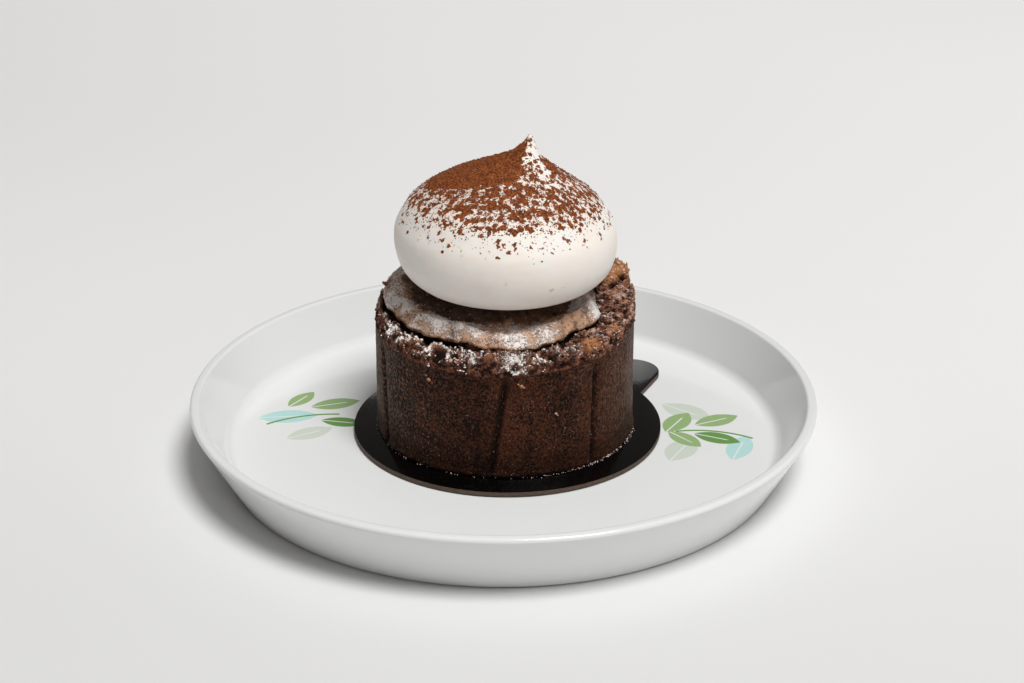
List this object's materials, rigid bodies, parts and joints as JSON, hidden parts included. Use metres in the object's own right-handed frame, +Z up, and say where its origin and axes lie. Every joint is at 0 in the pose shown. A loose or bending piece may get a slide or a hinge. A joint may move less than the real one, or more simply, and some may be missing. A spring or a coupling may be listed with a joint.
{
  "type": "chocolate lava cake on a plate",
  "caption": "Baked chocolate lava cake with a cocoa-dusted meringue dome, on a glossy black card with a pull tab, on a small rimmed white plate.",
  "frame": {"origin": "middle of the plate's underside, on the surface that it stands on", "axes": "+Z up, the front of the cake faces -Y, +X to the right"},
  "size_m": [0.1604, 0.1604, 0.0845],
  "materials": {
    "plate_glaze": "clear glossy glaze on white porcelain, with a flat printed decoration in the well",
    "card_black": "black gloss film on the top face, bare brown board at the cut edge",
    "cake_crumb": "dark baked chocolate sponge, matt and slightly greasy at the side, with a pale sugared crust on top",
    "meringue_white": "smooth satin meringue, dusted with cocoa powder on its upper half"
  },
  "bodies": {
    "root": {"plate": "plate_glaze", "cake_board": "card_black", "cake": "cake_crumb", "meringue": "meringue_white"}
  },
  "joints": []
}
